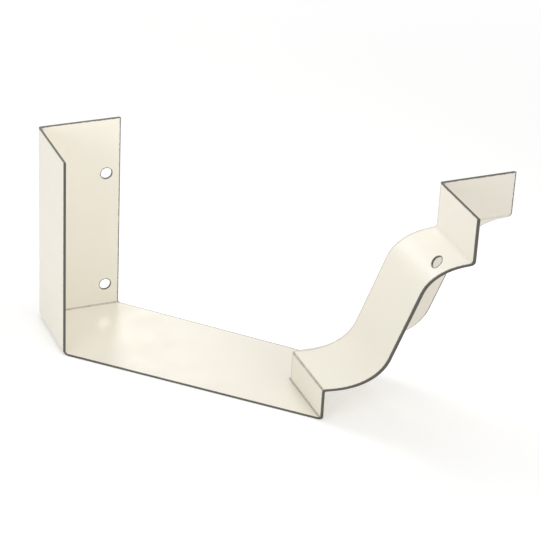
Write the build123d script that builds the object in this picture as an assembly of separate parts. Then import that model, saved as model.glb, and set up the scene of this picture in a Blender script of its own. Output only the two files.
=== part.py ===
from build123d import *
from math import asin, atan2, cos, degrees, hypot, radians, sin
import os

# Inside mitre strip for an ogee rain gutter: one pressed sheet that covers
# the seam where two gutters meet in an inside corner.
# X and Y run along the two gutters, and the mitre plane is X = Y.

# Gutter section, outside sizes in mm
gutter_bottom = 86.0
back_height = 92.0
front_height = 108.0
toe_riser = 14.0
lip_band = 20.0
front_throw = 41.0

# Ogee front: headings are degrees above level, measured going outwards, and
# the radii are on the outside line
toe_angle = 28.0
shoulder_angle = 34.0
flat_length = 3.0
belly_radius = 33.0
cove_radius = 28.0

# Strip
sheet = 0.8
leg_back = 36.0
leg_front = 33.0

# Bends and mitre folds, measured on the hollow side
bend_radius = 1.0
lip_radius = 2.2
fold_radius = 0.4

# Fixing holes for 4.8 mm rivets or screws. The front hole lies where the cove
# slopes by front_hole_slope degrees.
rivet_diameter = 4.8
hole_clearance = 0.2
hole_diameter = rivet_diameter + hole_clearance
back_hole_edge = 5.5
back_hole_low = 11.0
back_hole_spacing = 55.0
front_hole_edge = 8.5
front_hole_slope = 48.0

# Overall plan size, used to centre the part over its base
mouth_width = gutter_bottom + front_throw
plan_size = mouth_width + leg_front
centre = plan_size / 2


def left_normal(heading):
    return Vector(-sin(radians(heading)), cos(radians(heading)))


def corner_bend(corner, heading_in, heading_out, inner_radius):
    # Bend that rounds a corner of the outside line: centre, radius on the outside line, turn
    turn = 1 if heading_out > heading_in else -1
    radius = inner_radius + sheet if turn > 0 else inner_radius
    side = left_normal(heading_in) + left_normal(heading_out)
    spread = 1 + left_normal(heading_in).dot(left_normal(heading_out))
    return corner + side * (turn * radius / spread), radius, turn, heading_in, heading_out


# Corners of the outside line, as distance out from the back wall and height
back_foot = Vector(0, 0)
toe_foot = Vector(gutter_bottom, 0)
toe_top = Vector(gutter_bottom, toe_riser)
lip_foot = Vector(mouth_width, front_height - lip_band)

# Belly and cove arcs, joined by the straight line that touches both
belly_start = toe_top + Vector(cos(radians(toe_angle)), sin(radians(toe_angle))) * flat_length
cove_end = lip_foot - Vector(cos(radians(shoulder_angle)), sin(radians(shoulder_angle))) * flat_length
belly_centre = belly_start + left_normal(toe_angle) * belly_radius
cove_centre = cove_end - left_normal(shoulder_angle) * cove_radius
between = cove_centre - belly_centre
centre_gap = hypot(between.X, between.Y)
steep_angle = degrees(atan2(between.Y, between.X) + asin((belly_radius + cove_radius) / centre_gap))

bends = [
    corner_bend(back_foot, -90, 0, bend_radius),
    corner_bend(toe_foot, 0, 90, bend_radius),
    corner_bend(toe_top, 90, toe_angle, bend_radius),
    (belly_centre, belly_radius, 1, toe_angle, steep_angle),
    (cove_centre, cove_radius, -1, steep_angle, shoulder_angle),
    corner_bend(lip_foot, shoulder_angle, 90, lip_radius),
]


def on_bend(bend, heading, depth):
    # Point of a bend where the section runs in the given heading, depth mm into the sheet
    middle, radius, turn, _, _ = bend
    return middle - left_normal(heading) * (turn * (radius - turn * depth))


def skin_line(depth):
    # Section line from the top of the back wall to the top of the front band
    here = Vector(depth, back_height)
    edges = []
    for bend in bends:
        start = on_bend(bend, bend[3], depth)
        middle = on_bend(bend, (bend[3] + bend[4]) / 2, depth)
        end = on_bend(bend, bend[4], depth)
        edges.append(Line(here, start))
        edges.append(ThreePointArc(start, middle, end))
        here = end
    edges.append(Line(here, Vector(mouth_width - depth, front_height)))
    return edges


# Closed section of the sheet
outside = skin_line(0)
inside = skin_line(sheet)
back_top = Line(outside[0] @ 0, inside[0] @ 0)
band_top = Line(outside[-1] @ 1, inside[-1] @ 1)
section = Face(Wire(outside + inside + [back_top, band_top]))

# Plan outline of one leg: mitre line, then the free edge, which tapers along the bottom
leg_plan = Polyline(
    (0, 0),
    (leg_back, 0),
    (gutter_bottom + leg_front, gutter_bottom),
    (plan_size, mouth_width),
    (mouth_width, mouth_width),
    close=True,
)

# One leg runs along X: the section stands in the YZ plane and is cut to the plan outline
leg_bar = extrude(Plane.YZ * section, plan_size)
leg_cutter = extrude(make_face(leg_plan), front_height)
leg_x = leg_bar & leg_cutter

# The other leg is its mirror image across the mitre plane
mitre_plane = Plane(origin=(0, 0, 0), x_dir=(0, 0, 1), z_dir=(1, -1, 0))
leg_y = mirror(leg_x, about=mitre_plane)
strip = leg_x + leg_y


def mitre_edges(shape):
    # Edges that lie in the mitre plane, where the two legs meet
    spots = (0, 0.5, 1)
    return [e for e in shape.edges() if all(abs((e @ t).X - (e @ t).Y) < 1e-4 for t in spots)]


def in_hollow(edge):
    # The back folds towards the trough, the front folds away from it
    middle = edge @ 0.5
    spot = Vertex(middle.X, middle.Z, 0)
    on_outside = min(spot.distance_to(line) for line in outside) < sheet / 4
    at_front = middle.X > gutter_bottom / 2
    return on_outside == at_front


# Mitre folds: rounded on the hollow side, and by one sheet more on the other side
hollow_folds = [e for e in mitre_edges(strip) if in_hollow(e)]
strip = fillet(hollow_folds, fold_radius)
strip = fillet(mitre_edges(strip), fold_radius + sheet)

# Two holes near the free edge of the back wall that runs along Y
for hole_height in (back_hole_low, back_hole_low + back_hole_spacing):
    hole_spot = (sheet / 2, leg_back - back_hole_edge, hole_height)
    back_drill = Cylinder(hole_diameter / 2, 4 * sheet, rotation=(0, 90, 0))
    strip -= Pos(*hole_spot) * back_drill

# One hole square to the sheet, high on the cove, on the leg that runs along X
cove_spot = on_bend(bends[4], front_hole_slope, sheet / 2)
cove_axis = left_normal(front_hole_slope)
front_hole_x = cove_spot.X + leg_front - front_hole_edge
front_plane = Plane(
    origin=(front_hole_x, cove_spot.X, cove_spot.Y),
    x_dir=(1, 0, 0),
    z_dir=(0, cove_axis.X, cove_axis.Y),
)
strip -= front_plane * Cylinder(hole_diameter / 2, 4 * sheet)

# Origin under the middle of the plan box, on the underside of the bottom
strip = Pos(-centre, -centre, 0) * strip

os.makedirs("parts", exist_ok=True)
export_step(strip, "parts/mitre_strip.step")
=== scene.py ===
from math import asin, atan2, cos, degrees, pi, radians, sin

import bpy
from mathutils import Matrix, Vector


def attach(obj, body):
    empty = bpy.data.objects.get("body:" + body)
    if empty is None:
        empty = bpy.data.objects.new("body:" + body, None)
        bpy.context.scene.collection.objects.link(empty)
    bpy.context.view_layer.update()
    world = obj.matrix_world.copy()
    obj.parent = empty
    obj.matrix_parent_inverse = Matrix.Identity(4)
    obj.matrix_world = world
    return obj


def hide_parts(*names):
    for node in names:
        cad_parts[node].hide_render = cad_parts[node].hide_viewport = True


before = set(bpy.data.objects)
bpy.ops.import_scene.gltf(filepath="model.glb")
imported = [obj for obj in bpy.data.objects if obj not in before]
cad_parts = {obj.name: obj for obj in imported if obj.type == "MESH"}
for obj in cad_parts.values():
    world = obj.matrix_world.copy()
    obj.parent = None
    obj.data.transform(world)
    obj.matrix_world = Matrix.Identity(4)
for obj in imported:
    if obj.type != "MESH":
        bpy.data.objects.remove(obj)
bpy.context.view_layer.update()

MM = 0.001

# Gutter section, the same as the CAD part: outside sizes in mm, and angles in degrees above level
GUTTER_BOTTOM = 86.0
BACK_HEIGHT = 92.0
FRONT_HEIGHT = 108.0
TOE_RISER = 14.0
LIP_BAND = 20.0
FRONT_THROW = 41.0
TOE_ANGLE = 28.0
SHOULDER_ANGLE = 34.0
FLAT_LENGTH = 3.0
BELLY_RADIUS = 33.0
COVE_RADIUS = 28.0

# Strip, bends and holes in mm, the same as the CAD part
SHEET = 0.8
LEG_BACK = 36.0
LEG_FRONT = 33.0
BEND_RADIUS = 1.0
LIP_RADIUS = 2.2
RIVET_DIAMETER = 4.8
HOLE_CLEARANCE = 0.2
HOLE_RADIUS = (RIVET_DIAMETER + HOLE_CLEARANCE) / 2
BACK_HOLE_EDGE = 5.5
BACK_HOLE_LOW = 11.0
BACK_HOLE_SPACING = 55.0
FRONT_HOLE_EDGE = 8.5
FRONT_HOLE_SLOPE = 48.0
MOUTH_WIDTH = GUTTER_BOTTOM + FRONT_THROW
CENTRE = (MOUTH_WIDTH + LEG_FRONT) / 2

# How softly the mitre fold turns its corner, in mm, about as the CAD part's fillets do
FOLD_SOFTNESS = 0.7

# Mesh rows: roughly every so many mm on straight runs, and every so many degrees round a bend
ROW_STEP = 1.6
BEND_STEP = 6.0

# Mesh columns from one free edge to the other, and the power that crowds them towards the fold
COLUMNS = 73
FOLD_CROWDING = 2.2

# Edges that turn more than this stay crisp
CRISP_ANGLE = radians(40)

# Drills that punch the holes: facets round each, and how many sheets they reach to each side
DRILL_SIDES = 64
DRILL_REACH = 4

# Where folding strains the coat, which darkens there partly as painted shade of the fold: bends do
# fully up to this radius in mm and not at all from twice that, and the mitre fold does by this
# share, from its core out to its reach in mm on each side
SHARP_BEND = 1.8
FOLD_STRAIN = 0.8
STRAIN_CORE = 0.3
STRAIN_REACH = 1.7

# Sizes of the patterns in the paint and the cut metal, in mm
TINT_DRIFT = 60.0
CRAZE_GRAIN = 1.2
RIM_GRAIN = 0.9
RIM_RAGGEDNESS = 0.6
RIM_BARE_TO = 0.36
RIM_COATED_FROM = 0.56
RUB_SPACING = 14.0
WAVE_LENGTH = 35.0
WAVE_HEIGHT = 0.06
PEEL_GRAIN = 2.0
PEEL_HEIGHT = 0.01
COAT_STEP = 0.05
SHEAR_STREAK = 0.3

# How strongly they show: roughness of the satin from rubbed to not, least crazing on a strained
# line, its grime together with the painted shade of the fold, how much rougher it is, and how
# metallic the bare rim looks under its haze
RUBBED_SATIN = 0.30
SATIN = 0.40
LEAST_CRAZING = 0.35
CRAZED_GRIME_AND_FOLD_SHADE = 0.85
CRAZED_DULLING = 0.25
BARE_METALLIC = 0.7

# Node types that come up often. Sockets 6 and 7 of a colour mix are its two colours.
MATH = "ShaderNodeMath"
MIX = "ShaderNodeMix"
NOISE = "ShaderNodeTexNoise"
RANGE = "ShaderNodeMapRange"
ATTRIBUTE = "ShaderNodeAttribute"


def linear(hex_colour):
    """sRGB hex colour as linear RGBA."""
    digits = hex_colour.lstrip("#")
    channels = [int(digits[i : i + 2], 16) / 255 for i in (0, 2, 4)]
    light = [c / 12.92 if c <= 0.04045 else ((c + 0.055) / 1.055) ** 2.4 for c in channels]
    return (*light, 1.0)


def add(tree, kind, inputs=None, **settings):
    """Adds a node. Inputs map a socket's name or number to a value, a socket, or a node, which
    stands for its first output in use."""
    node = tree.nodes.new(kind)
    for name, value in settings.items():
        setattr(node, name, value)
    for key, value in (inputs or {}).items():
        if isinstance(value, bpy.types.Node):
            value = next(socket for socket in value.outputs if socket.enabled)
        if isinstance(value, bpy.types.NodeSocket):
            tree.links.new(value, node.inputs[key])
        else:
            node.inputs[key].default_value = value
    return node


# Section of the sheet, as distance out from the back wall and height, with headings in degrees
# above level, measured going outwards


def along(heading):
    return Vector((cos(radians(heading)), sin(radians(heading))))


def left_normal(heading):
    return Vector((-sin(radians(heading)), cos(radians(heading))))


def corner_bend(corner, heading_in, heading_out, hollow_radius):
    """Bend that rounds a corner: centre, radius on the outside line, turn and both headings."""
    turn = 1 if heading_out > heading_in else -1
    radius = hollow_radius + SHEET if turn > 0 else hollow_radius
    side = left_normal(heading_in) + left_normal(heading_out)
    spread = 1 + left_normal(heading_in).dot(left_normal(heading_out))
    return corner + side * (turn * radius / spread), radius, turn, heading_in, heading_out


def section_bends():
    """Bends of the outside line, from the back wall to the front band."""
    toe_top = Vector((GUTTER_BOTTOM, TOE_RISER))
    lip_foot = Vector((MOUTH_WIDTH, FRONT_HEIGHT - LIP_BAND))
    belly_start = toe_top + along(TOE_ANGLE) * FLAT_LENGTH
    cove_end = lip_foot - along(SHOULDER_ANGLE) * FLAT_LENGTH
    belly_centre = belly_start + left_normal(TOE_ANGLE) * BELLY_RADIUS
    cove_centre = cove_end - left_normal(SHOULDER_ANGLE) * COVE_RADIUS
    between = cove_centre - belly_centre
    lean = asin((BELLY_RADIUS + COVE_RADIUS) / between.length)
    steep = degrees(atan2(between.y, between.x) + lean)
    return [
        corner_bend(Vector((0, 0)), -90, 0, BEND_RADIUS),
        corner_bend(Vector((GUTTER_BOTTOM, 0)), 0, 90, BEND_RADIUS),
        corner_bend(toe_top, 90, TOE_ANGLE, BEND_RADIUS),
        (belly_centre, BELLY_RADIUS, 1, TOE_ANGLE, steep),
        (cove_centre, COVE_RADIUS, -1, steep, SHOULDER_ANGLE),
        corner_bend(lip_foot, SHOULDER_ANGLE, 90, LIP_RADIUS),
    ]


def bend_strain(radius):
    """How much a bend strains the coat, from 1 at a sharp one to 0 at a wide one."""
    if radius >= 2 * SHARP_BEND:
        return 0.0
    return min(1.0, SHARP_BEND / radius) ** 3


def section_line(bends):
    """Rows of the outside line: point, direction into the sheet, and strain of the coat."""
    rows = [(Vector((0, BACK_HEIGHT)), left_normal(-90), 0.0)]

    def run_to(end, normal):
        start = rows[-1][0]
        steps = max(1, round((end - start).length / ROW_STEP))
        for i in range(1, steps + 1):
            rows.append((start.lerp(end, i / steps), normal, 0.0))

    for centre, radius, turn, heading_in, heading_out in bends:
        run_to(centre - left_normal(heading_in) * (turn * radius), left_normal(heading_in))
        # Round a wide bend, 90 degrees shared by its radius puts a row about every 1.6 mm
        row_angle = min(BEND_STEP, 90 / radius)
        steps = max(4, round(abs(heading_out - heading_in) / row_angle))
        for i in range(1, steps + 1):
            normal = left_normal(heading_in + (heading_out - heading_in) * i / steps)
            strain = bend_strain(radius) * sin(pi * i / steps) ** 2
            rows.append((centre - normal * (turn * radius), normal, strain))
    run_to(Vector((MOUTH_WIDTH, FRONT_HEIGHT)), left_normal(90))
    return rows


def section_object(rows):
    """The outside line as a mesh whose points carry what the rule and the paint need to know."""
    points = [point for point, _, _ in rows]
    reach = [0.0]
    for here, there in zip(points, points[1:]):
        reach.append(reach[-1] + (there - here).length)
    mesh = bpy.data.meshes.new("section_line")
    corners = [(p.x * MM, 0.0, p.y * MM) for p in points]
    edges = [(i, i + 1) for i in range(len(points) - 1)]
    mesh.from_pydata(corners, edges, [])
    inward = mesh.attributes.new("inward", "FLOAT_VECTOR", "POINT")
    inward.data.foreach_set("vector", [c for _, n, _ in rows for c in (n.x, 0.0, n.y)])
    from_top = mesh.attributes.new("from_top", "FLOAT", "POINT")
    from_top.data.foreach_set("value", [min(r, reach[-1] - r) * MM for r in reach])
    sharp_bend = mesh.attributes.new("sharp_bend", "FLOAT", "POINT")
    sharp_bend.data.foreach_set("value", [strain for _, _, strain in rows])
    return bpy.data.objects.new("section_line", mesh)


# Materials


def painted_sheet(holes):
    """Aluminium gutter coil with a satin almond polyester coat, rolled on and baked before
    folding: an even warm satin, dull in the creases with a dark line there that is partly grime
    and partly painted shade, and bare along the cuts."""
    material = bpy.data.materials.new("almond_coil_paint_on_aluminium")
    material.use_nodes = True
    tree = material.node_tree
    tree.nodes.clear()
    place = add(tree, "ShaderNodeTexCoord").outputs["Object"]

    # Coat: faint drift of tint where the film varies, from a greenish to a pinkish almond
    film = add(tree, NOISE, {
        "Vector": place, "Scale": 1 / (TINT_DRIFT * MM), "Detail": 1.0, "Roughness": 0.4})
    almond = add(tree, MIX, {
        "Factor": film, 6: linear("#E2E0D2"), 7: linear("#E7DFD3")}, data_type="RGBA")

    # Sharp bends and the mitre fold strain the coat: it crazes to a duller line that holds grime.
    # The dark colour along each fold is partly that grime and partly painted shade of the fold.
    strain = add(tree, ATTRIBUTE, attribute_name="strain").outputs["Fac"]
    grain = add(tree, NOISE, {"Vector": place, "Scale": 1 / (CRAZE_GRAIN * MM), "Detail": 2.0})
    uneven = add(tree, MATH, {0: grain, 1: LEAST_CRAZING}, operation="ADD")
    crazed = add(tree, MATH, {0: strain, 1: uneven}, operation="MULTIPLY")
    grime_and_fold_shade = add(tree, MATH, {0: crazed, 1: CRAZED_GRIME_AND_FOLD_SHADE}, operation="MULTIPLY")
    # Dark line along the folds: crazed grime, and painted shade of the fold
    coat = add(tree, MIX, {"Factor": grime_and_fold_shade, 6: almond, 7: linear("#7E776A")}, data_type="RGBA")

    # Ragged line along sheared edges and hole rims, where shearing lifted the coat off the
    # metal: really 0.2 to 0.3 mm wide, drawn at 0.3 to 0.6 mm to show
    from_side = add(tree, ATTRIBUTE, attribute_name="from_side").outputs["Fac"]
    from_top = add(tree, ATTRIBUTE, attribute_name="from_top").outputs["Fac"]
    from_cut = add(tree, MATH, {0: from_side, 1: from_top}, operation="MINIMUM")
    for hole in holes:
        away = add(tree, "ShaderNodeVectorMath", {0: place, 1: hole * MM}, operation="DISTANCE")
        past_rim = add(tree, MATH, {
            0: away.outputs["Value"], 1: HOLE_RADIUS * MM}, operation="SUBTRACT")
        from_rim = add(tree, MATH, {0: past_rim}, operation="ABSOLUTE")
        from_cut = add(tree, MATH, {0: from_cut, 1: from_rim}, operation="MINIMUM")
    nibbled = add(tree, NOISE, {"Vector": place, "Scale": 1 / (RIM_GRAIN * MM), "Detail": 3.0})
    in_or_out = add(tree, MATH, {0: nibbled, 1: 0.5}, operation="SUBTRACT")
    ragged = add(tree, MATH, {
        0: in_or_out, 1: RIM_RAGGEDNESS * MM, 2: from_cut}, operation="MULTIPLY_ADD")
    bare = add(tree, RANGE, {
        "Value": ragged, "From Min": RIM_BARE_TO * MM, "From Max": RIM_COATED_FROM * MM,
        "To Min": 1.0, "To Max": 0.0})
    surface = add(tree, MIX, {"Factor": bare, 6: coat, 7: linear("#75726B")}, data_type="RGBA")
    metal = add(tree, MATH, {0: bare, 1: BARE_METALLIC}, operation="MULTIPLY")

    # Handling rub: soft streaks that polish the satin a little, while crazing dulls it
    rub = add(tree, NOISE, {
        "Vector": place, "Scale": 1 / (RUB_SPACING * MM), "Detail": 3.0, "Roughness": 0.6})
    satin = add(tree, RANGE, {
        "Value": rub, "From Min": 0.3, "From Max": 0.7, "To Min": RUBBED_SATIN, "To Max": SATIN})
    dull = add(tree, MATH, {0: crazed, 1: CRAZED_DULLING, 2: satin}, operation="MULTIPLY_ADD")

    # Slow waves that flat sheet keeps after pressing, under the orange peel of the baked coat,
    # whose real 1 mm grain is drawn at 2 mm to show, and the step down to bare metal
    wave = add(tree, NOISE, {"Vector": place, "Scale": 1 / (WAVE_LENGTH * MM), "Detail": 0.0})
    peel = add(tree, NOISE, {"Vector": place, "Scale": 1 / (PEEL_GRAIN * MM), "Detail": 2.0})
    film_top = add(tree, MATH, {0: 1.0, 1: bare}, operation="SUBTRACT")
    relief = None
    for height, strength, distance in (
        (wave, 0.5, WAVE_HEIGHT * MM),
        (peel, 0.4, PEEL_HEIGHT * MM),
        (film_top, 0.5, COAT_STEP * MM),
    ):
        bump = {"Height": height, "Strength": strength, "Distance": distance}
        if relief:
            bump["Normal"] = relief
        relief = add(tree, "ShaderNodeBump", bump)

    shader = add(tree, "ShaderNodeBsdfPrincipled", {
        "Base Color": surface,
        "Roughness": dull,
        "Metallic": metal,
        "IOR": 1.5,
        "Normal": relief,
    })
    add(tree, "ShaderNodeOutputMaterial", {"Surface": shader})
    return material


def cut_edge():
    """Bare aluminium where the sheet was sheared and the holes punched, dulled by weather: a
    dark grey edge, in fine streaks where its burnished and broken zones meet."""
    material = bpy.data.materials.new("sheared_aluminium_edge")
    material.use_nodes = True
    tree = material.node_tree
    tree.nodes.clear()
    place = add(tree, "ShaderNodeTexCoord").outputs["Object"]
    streak = add(tree, NOISE, {"Vector": place, "Scale": 1 / (SHEAR_STREAK * MM), "Detail": 2.0})
    tone = add(tree, MIX, {
        "Factor": streak, 6: linear("#4E4C48"), 7: linear("#5E5B56")}, data_type="RGBA")
    shader = add(tree, "ShaderNodeBsdfPrincipled", {
        "Base Color": tone,
        "Roughness": 0.5,
        "Metallic": 0.6,
    })
    add(tree, "ShaderNodeOutputMaterial", {"Surface": shader})
    return material


# The folded sheet


def strip_rule():
    """Rule for the sheet: a block of rows and columns, one unit long, wide and deep, is laid along
    the section and round the mitre fold, and its holes are punched."""
    tree = bpy.data.node_groups.new("folded_mitre_strip", "GeometryNodeTree")
    for name, kind in (
        ("Section Line", "NodeSocketObject"),
        ("Rows", "NodeSocketInt"),
        ("Columns", "NodeSocketInt"),
        ("Fold Crowding", "NodeSocketFloat"),
        ("Sheet", "NodeSocketFloat"),
        ("Leg Back", "NodeSocketFloat"),
        ("Leg Front", "NodeSocketFloat"),
        ("Gutter Bottom", "NodeSocketFloat"),
        ("Centre", "NodeSocketFloat"),
        ("Fold Softness", "NodeSocketFloat"),
        ("Strain Core", "NodeSocketFloat"),
        ("Strain Reach", "NodeSocketFloat"),
        ("Drills", "NodeSocketObject"),
        ("Painted Sheet", "NodeSocketMaterial"),
        ("Cut Edge", "NodeSocketMaterial"),
    ):
        tree.interface.new_socket(name, in_out="INPUT", socket_type=kind)
    tree.interface.new_socket("Geometry", in_out="OUTPUT", socket_type="NodeSocketGeometry")
    given = add(tree, "NodeGroupInput").outputs

    block = add(tree, "GeometryNodeMeshCube", {
        "Size": (1.0, 1.0, 1.0),
        "Vertices X": given["Rows"],
        "Vertices Y": given["Columns"],
        "Vertices Z": 2,
    })
    position = add(tree, "GeometryNodeInputPosition")
    length, width, depth = add(tree, "ShaderNodeSeparateXYZ", {0: position}).outputs

    # Sheared faces are those on the block's rim, half a unit from its middle, less a hair
    off_length = add(tree, MATH, {0: length}, operation="ABSOLUTE")
    off_width = add(tree, MATH, {0: width}, operation="ABSOLUTE")
    off_middle = add(tree, MATH, {0: off_length, 1: off_width}, operation="MAXIMUM")
    on_rim = add(tree, "FunctionNodeCompare", {0: off_middle, 1: 0.4999}, operation="GREATER_THAN")
    shape = add(tree, "GeometryNodeStoreNamedAttribute", {
        "Geometry": block, "Name": "cut", "Value": on_rim}, data_type="BOOLEAN", domain="FACE")

    # Row to point of the section line, and what that point knows
    last_row = add(tree, MATH, {0: given["Rows"], 1: 1.0}, operation="SUBTRACT")
    from_start = add(tree, MATH, {0: length, 1: 0.5}, operation="ADD")
    rows_on = add(tree, MATH, {0: from_start, 1: last_row}, operation="MULTIPLY")
    row = add(tree, MATH, {0: rows_on}, operation="ROUND")
    line = add(tree, "GeometryNodeObjectInfo", {"Object": given["Section Line"]})
    on_line = {}
    for name, kind in (
        ("position", "FLOAT_VECTOR"),
        ("inward", "FLOAT_VECTOR"),
        ("from_top", "FLOAT"),
        ("sharp_bend", "FLOAT"),
    ):
        stored = add(tree, "GeometryNodeInputNamedAttribute", {"Name": name}, data_type=kind)
        on_line[name] = add(tree, "GeometryNodeSampleIndex", {
            "Geometry": line.outputs["Geometry"], "Value": stored, "Index": row},
            data_type=kind, domain="POINT")

    # Down into the sheet from the outside line
    half_up = add(tree, MATH, {0: depth, 1: 0.5}, operation="ADD")
    sunk_by = add(tree, MATH, {0: half_up, 1: given["Sheet"]}, operation="MULTIPLY")
    sunk = add(tree, "ShaderNodeVectorMath", {
        0: on_line["inward"], "Scale": sunk_by}, operation="SCALE")
    skin = add(tree, "ShaderNodeVectorMath", {
        0: on_line["position"], 1: sunk}, operation="ADD")
    out, _, up = add(tree, "ShaderNodeSeparateXYZ", {0: skin}).outputs

    # Column to distance from the mitre plane along one leg or the other, crowded at the fold
    across = add(tree, MATH, {0: width, 1: -2.0}, operation="MULTIPLY")
    leg_sign = add(tree, MATH, {0: across}, operation="SIGN")
    across_size = add(tree, MATH, {0: across}, operation="ABSOLUTE")
    crowded_size = add(tree, MATH, {
        0: across_size, 1: given["Fold Crowding"]}, operation="POWER")
    crowded = add(tree, MATH, {0: leg_sign, 1: crowded_size}, operation="MULTIPLY")
    leg = add(tree, RANGE, {
        "Value": out, "From Min": 0.0, "From Max": given["Gutter Bottom"],
        "To Min": given["Leg Back"], "To Max": given["Leg Front"]})

    # Soft corner: along both legs at once near the fold, and along one of them away from it
    soft = given["Fold Softness"]
    soft_square = add(tree, MATH, {0: soft, 1: soft}, operation="MULTIPLY")
    four_legs = add(tree, MATH, {0: leg, 1: 4.0}, operation="MULTIPLY")
    shortening = add(tree, MATH, {0: soft_square, 1: four_legs}, operation="DIVIDE")
    straight = add(tree, MATH, {0: leg, 1: shortening}, operation="SUBTRACT")
    reach = add(tree, MATH, {0: crowded, 1: straight}, operation="MULTIPLY")
    reach_square = add(tree, MATH, {0: reach, 1: reach}, operation="MULTIPLY")
    squares = add(tree, MATH, {0: reach_square, 1: soft_square}, operation="ADD")
    root = add(tree, MATH, {0: squares}, operation="SQRT")
    xy = []
    for operation in ("ADD", "SUBTRACT"):
        both = add(tree, MATH, {0: root, 1: reach}, operation=operation)
        along_leg = add(tree, MATH, {0: both, 1: 0.5}, operation="MULTIPLY")
        from_corner = add(tree, MATH, {0: out, 1: along_leg}, operation="ADD")
        xy.append(add(tree, MATH, {0: from_corner, 1: given["Centre"]}, operation="SUBTRACT"))
    spot = add(tree, "ShaderNodeCombineXYZ", {0: xy[0], 1: xy[1], 2: up})

    # What the paint needs to know: distance to the sheared edges, and where folding strained it,
    # which is at the sharp bends and at the mitre fold except along the flat bottom. The paint
    # darkens there, partly as painted shade of the fold.
    off_fold = add(tree, MATH, {0: crowded}, operation="ABSOLUTE")
    share_left = add(tree, MATH, {0: 1.0, 1: off_fold}, operation="SUBTRACT")
    from_side = add(tree, MATH, {0: share_left, 1: leg}, operation="MULTIPLY")
    from_mitre = add(tree, MATH, {0: reach}, operation="ABSOLUTE")
    at_fold = add(tree, RANGE, {
        "Value": from_mitre, "From Min": given["Strain Core"], "From Max": given["Strain Reach"],
        "To Min": FOLD_STRAIN, "To Max": 0.0})
    lean = add(tree, "ShaderNodeSeparateXYZ", {0: on_line["inward"]})
    steepness = add(tree, MATH, {0: lean.outputs["X"]}, operation="ABSOLUTE")
    fold_turn = add(tree, MATH, {0: steepness}, operation="SQRT")
    fold_strain = add(tree, MATH, {0: at_fold, 1: fold_turn}, operation="MULTIPLY")
    strain = add(tree, MATH, {0: on_line["sharp_bend"], 1: fold_strain}, operation="MAXIMUM")
    for name, value in (
        ("from_side", from_side),
        ("from_top", on_line["from_top"]),
        ("strain", strain),
    ):
        shape = add(tree, "GeometryNodeStoreNamedAttribute", {
            "Geometry": shape, "Name": name, "Value": value}, data_type="FLOAT", domain="POINT")
    folded = add(tree, "GeometryNodeSetPosition", {"Geometry": shape, "Position": spot})

    # Punched holes, whose walls are sheared too
    drills = add(tree, "GeometryNodeObjectInfo", {"Object": given["Drills"]})
    marked_drills = add(tree, "GeometryNodeStoreNamedAttribute", {
        "Geometry": drills.outputs["Geometry"], "Name": "cut", "Value": True},
        data_type="BOOLEAN", domain="FACE")
    punched = add(tree, "GeometryNodeMeshBoolean", {
        "Mesh 1": folded, "Mesh 2": marked_drills}, operation="DIFFERENCE", solver="EXACT")

    # Smooth over bends and folds, crisp at cut edges
    smooth = add(tree, "GeometryNodeSetShadeSmooth", {"Geometry": punched, "Shade Smooth": True})
    edge_angle = add(tree, "GeometryNodeInputMeshEdgeAngle").outputs["Unsigned Angle"]
    crisp = add(tree, "FunctionNodeCompare", {
        0: edge_angle, 1: CRISP_ANGLE}, operation="GREATER_THAN")
    sharpened = add(tree, "GeometryNodeStoreNamedAttribute", {
        "Geometry": smooth, "Name": "sharp_edge", "Value": crisp},
        data_type="BOOLEAN", domain="EDGE")

    real = add(tree, "GeometryNodeRealizeInstances", {"Geometry": sharpened})
    painted = add(tree, "GeometryNodeSetMaterial", {
        "Geometry": real, "Material": given["Painted Sheet"]})
    is_cut = add(tree, "GeometryNodeInputNamedAttribute", {"Name": "cut"}, data_type="BOOLEAN")
    edged = add(tree, "GeometryNodeSetMaterial", {
        "Geometry": painted, "Selection": is_cut, "Material": given["Cut Edge"]})
    add(tree, "NodeGroupOutput", {"Geometry": edged})
    return tree


def hole_spots(bends):
    """Middle and axis of each punched hole, in mm, in the part's own frame."""
    spots = []
    for height in (BACK_HOLE_LOW, BACK_HOLE_LOW + BACK_HOLE_SPACING):
        spots.append((Vector((0, LEG_BACK - BACK_HOLE_EDGE, height)), Vector((1, 0, 0))))
    cove_centre, cove_radius, *_ = bends[4]
    through_sheet = left_normal(FRONT_HOLE_SLOPE)
    cove = cove_centre + through_sheet * (cove_radius + SHEET / 2)
    front_spot = Vector((cove.x + LEG_FRONT - FRONT_HOLE_EDGE, cove.x, cove.y))
    spots.append((front_spot, Vector((0, through_sheet.x, through_sheet.y))))
    return [(spot - Vector((CENTRE, CENTRE, 0)), axis) for spot, axis in spots]


def drill_object(spots):
    """Short rods that punch the holes."""
    points = []
    faces = []
    for spot, axis in spots:
        tilt = axis.to_track_quat("Z", "Y").to_matrix()
        low = len(points)
        high = low + DRILL_SIDES
        for end in (-DRILL_REACH * SHEET, DRILL_REACH * SHEET):
            for i in range(DRILL_SIDES):
                angle = 2 * pi * i / DRILL_SIDES
                ring = Vector((cos(angle) * HOLE_RADIUS, sin(angle) * HOLE_RADIUS, end))
                points.append((spot + tilt @ ring) * MM)
        for i in range(DRILL_SIDES):
            j = (i + 1) % DRILL_SIDES
            faces.append((low + i, low + j, high + j, high + i))
        faces.append(tuple(low + i for i in reversed(range(DRILL_SIDES))))
        faces.append(tuple(high + i for i in range(DRILL_SIDES)))
    mesh = bpy.data.meshes.new("drills")
    mesh.from_pydata(points, [], faces)
    return bpy.data.objects.new("drills", mesh)


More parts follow.
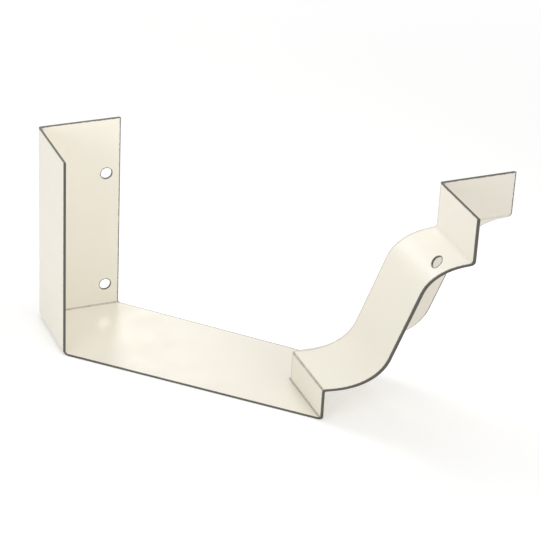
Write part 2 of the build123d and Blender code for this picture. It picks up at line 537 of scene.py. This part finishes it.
def build_strip():
    bends = section_bends()
    rows = section_line(bends)
    holes = hole_spots(bends)
    line = section_object(rows)
    drills = drill_object(holes)
    piece = bpy.data.objects.new("mitre_strip_sheet", bpy.data.meshes.new("blank"))
    for item in (line, drills, piece):
        bpy.context.collection.objects.link(item)
    rule = strip_rule()
    modifier = piece.modifiers.new("folded_mitre_strip", "NODES")
    modifier.node_group = rule
    values = {
        "Section Line": line,
        "Rows": len(rows),
        "Columns": COLUMNS,
        "Fold Crowding": FOLD_CROWDING,
        "Sheet": SHEET * MM,
        "Leg Back": LEG_BACK * MM,
        "Leg Front": LEG_FRONT * MM,
        "Gutter Bottom": GUTTER_BOTTOM * MM,
        "Centre": CENTRE * MM,
        "Fold Softness": FOLD_SOFTNESS * MM,
        "Strain Core": STRAIN_CORE * MM,
        "Strain Reach": STRAIN_REACH * MM,
        "Drills": drills,
        "Painted Sheet": painted_sheet([spot for spot, _ in holes]),
        "Cut Edge": cut_edge(),
    }
    for socket in rule.interface.items_tree:
        if socket.in_out == "INPUT":
            modifier[socket.identifier] = values[socket.name]
    graph = bpy.context.evaluated_depsgraph_get()
    mesh = bpy.data.meshes.new_from_object(piece.evaluated_get(graph), depsgraph=graph)
    mesh.name = "mitre_strip_sheet"
    piece.modifiers.clear()
    piece.data = mesh
    bpy.data.objects.remove(line)
    bpy.data.objects.remove(drills)
    return piece


strip = build_strip()
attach(strip, "root")
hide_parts("mitre_strip")

# Camera at the drawing's viewing angle, with its slight tilt. Its focal length was fitted in
# pixels of the 540 pixel wide drawing.
CAMERA_PLACE = Vector((0.73194, -0.32581, 0.48982))
CAMERA_FORWARD = Vector((-0.8032, 0.35268, -0.48008)).normalized()
CAMERA_UP = Vector((-0.46042, 0.14384, 0.87597))
FOCAL_PIXELS = 2195.76
DRAWING_PIXELS = 540
SENSOR_WIDTH = 36


def drawing_camera():
    camera = bpy.data.objects.new("camera", bpy.data.cameras.new("camera"))
    bpy.context.collection.objects.link(camera)
    sideways = CAMERA_FORWARD.cross(CAMERA_UP).normalized()
    upwards = sideways.cross(CAMERA_FORWARD)
    turn = Matrix((sideways, upwards, -CAMERA_FORWARD)).transposed().to_4x4()
    camera.matrix_world = Matrix.Translation(CAMERA_PLACE) @ turn
    camera.data.lens = FOCAL_PIXELS / DRAWING_PIXELS * SENSOR_WIDTH
    camera.data.sensor_width = SENSOR_WIDTH
    camera.data.clip_start = 0.01
    camera.data.clip_end = 20
    return camera


bpy.context.scene.camera = drawing_camera()


def softbox(name, width, power, position, target=(0, 0, 0.04)):
    """Square area lamp that faces the target and isn't seen itself."""
    lamp = bpy.data.lights.new(name, "AREA")
    lamp.shape = "SQUARE"
    lamp.size = width
    lamp.energy = power
    holder = bpy.data.objects.new(name, lamp)
    holder.location = position
    direction = Vector(target) - Vector(position)
    holder.rotation_euler = direction.to_track_quat("-Z", "Y").to_euler()
    holder.visible_camera = False
    bpy.context.collection.objects.link(holder)


# Plain soft studio light: a softbox at the left of the camera and a fill at its right, a low
# one at the far left for the steep front, one above the trough, and one behind that the satin
# bottom mirrors
softbox("key_softbox", 0.45, 1.75, (0.30, -0.62, 0.20))
softbox("fill_softbox", 0.60, 4.5, (1.20, 0.35, 0.36))
softbox("side_softbox", 0.20, 0.50, (-0.60, -0.46, 0.24))
softbox("top_softbox", 0.12, 0.165, (-0.03, 0.02, 0.22), (-0.07, -0.06, 0.03))
softbox("back_softbox", 0.18, 0.55, (-0.80, 0.20, 0.46))

# White surroundings: plain white where they are seen, directly or in gloss or glass, and this
# strong where they only light the part
AMBIENT_STRENGTH = 0.60

# Floor in metres: half its width, how far it lies under the part, and the distances from the
# part's middle between which it fades to plain white. The lift is how much it glows when seen.
FLOOR_HALF = 4.0
FLOOR_GAP = 0.0002
FADE_START = 0.20
FADE_END = 0.55
FLOOR_LIFT = 0.25


def when_seen(tree):
    """1 for a ray from the camera, off gloss or through glass, and 0 for one that only lights."""
    rays = add(tree, "ShaderNodeLightPath").outputs
    seen = rays["Is Camera Ray"]
    for ray in ("Is Glossy Ray", "Is Transmission Ray"):
        seen = add(tree, MATH, {0: seen, 1: rays[ray]}, operation="MAXIMUM")
    return seen


def white_surroundings():
    world = bpy.data.worlds.new("studio")
    world.use_nodes = True
    tree = world.node_tree
    tree.nodes.clear()
    strength = add(tree, RANGE, {
        "Value": when_seen(tree), "To Min": AMBIENT_STRENGTH, "To Max": 1.0})
    ambient = add(tree, "ShaderNodeBackground", {
        "Color": linear("#FFFFFF"), "Strength": strength})
    add(tree, "ShaderNodeOutputWorld", {"Surface": ambient})
    return world


def studio_paper():
    """White paper. Near the part it takes light and shadow, and further off it is plain white."""
    material = bpy.data.materials.new("white_studio_paper")
    material.use_nodes = True
    tree = material.node_tree
    tree.nodes.clear()
    seen = when_seen(tree)
    place = add(tree, "ShaderNodeTexCoord").outputs["Object"]
    away = add(tree, "ShaderNodeVectorMath", {0: place}, operation="LENGTH").outputs["Value"]
    far = add(tree, RANGE, {
        "Value": away, "From Min": FADE_START, "From Max": FADE_END},
        interpolation_type="SMOOTHSTEP")
    fade = add(tree, MATH, {0: seen, 1: far}, operation="MULTIPLY")
    lift = add(tree, MATH, {0: seen, 1: FLOOR_LIFT}, operation="MULTIPLY")
    paper = add(tree, "ShaderNodeBsdfDiffuse", {"Color": linear("#F4F4F3")})
    glow = add(tree, "ShaderNodeEmission", {"Color": linear("#FFFFFF"), "Strength": lift})
    near_part = add(tree, "ShaderNodeAddShader", {0: paper, 1: glow})
    plain = add(tree, "ShaderNodeEmission", {"Color": linear("#FFFFFF"), "Strength": 1.0})
    both = add(tree, "ShaderNodeMixShader", {0: fade, 1: near_part, 2: plain})
    add(tree, "ShaderNodeOutputMaterial", {"Surface": both})
    return material


def floor_sheet():
    corners = []
    for x, y in ((-1, -1), (1, -1), (1, 1), (-1, 1)):
        corners.append((x * FLOOR_HALF, y * FLOOR_HALF, -FLOOR_GAP))
    mesh = bpy.data.meshes.new("floor")
    mesh.from_pydata(corners, [], [(0, 1, 2, 3)])
    mesh.materials.append(studio_paper())
    floor = bpy.data.objects.new("floor", mesh)
    bpy.context.collection.objects.link(floor)
    return floor


bpy.context.scene.world = white_surroundings()
floor_sheet()

bpy.context.scene.view_settings.view_transform = "Standard"
